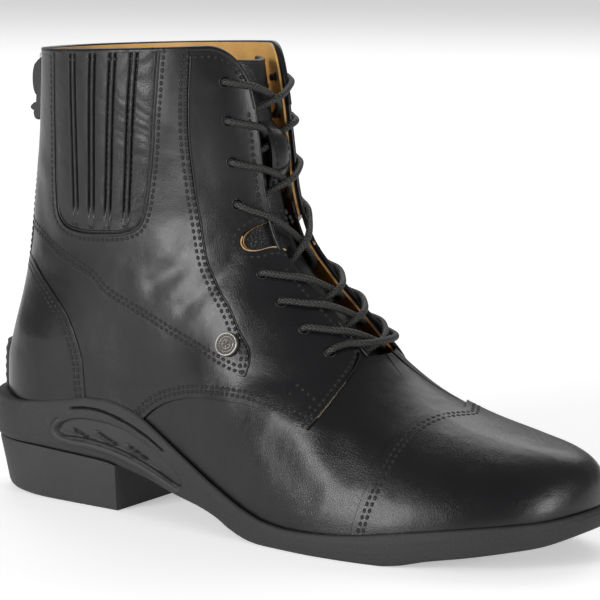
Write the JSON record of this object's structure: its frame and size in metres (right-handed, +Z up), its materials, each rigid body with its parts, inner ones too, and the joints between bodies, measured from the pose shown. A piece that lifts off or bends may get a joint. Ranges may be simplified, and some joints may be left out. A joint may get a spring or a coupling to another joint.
{
  "type": "paddock boot",
  "caption": "Lace-up ankle riding boot in smooth black leather, with pleated elastic side panels, a closed back zip, a toe cap and a moulded rubber sole with a heel; right foot",
  "frame": {"origin": "on the floor, under the centre of the heel", "axes": "+X towards the toe, +Y to the inner side of the foot, +Z up"},
  "size_m": [0.2745, 0.0971, 0.188],
  "materials": {
    "leather": "smooth, semi-gloss",
    "sole": "matt, fine grain",
    "lining": "soft tan",
    "elastic": "pleated, leather faced",
    "cord": "waxed weave",
    "metal": "aged silver",
    "pull": "satin"
  },
  "bodies": {
    "body": {"outsole": "sole", "heel_block": "sole", "insole": "lining", "upper": "leather", "gore_outer": "elastic", "gore_inner": "elastic", "tongue": "leather", "tongue_loop": "leather", "lace": "cord", "zip": "cord", "zip_slider": "metal", "heel_patch": "sole", "badge_stud": "metal"},
    "pull": {"zip_pull": "pull"}
  },
  "joints": [
    {"name": "zip_pull_swing", "type": "hinge", "parent": "body", "child": "pull", "pos_m": [-0.0254, 0, 0.1795], "axis": [0, 1, 0], "range_deg": [0, 100]}
  ]
}
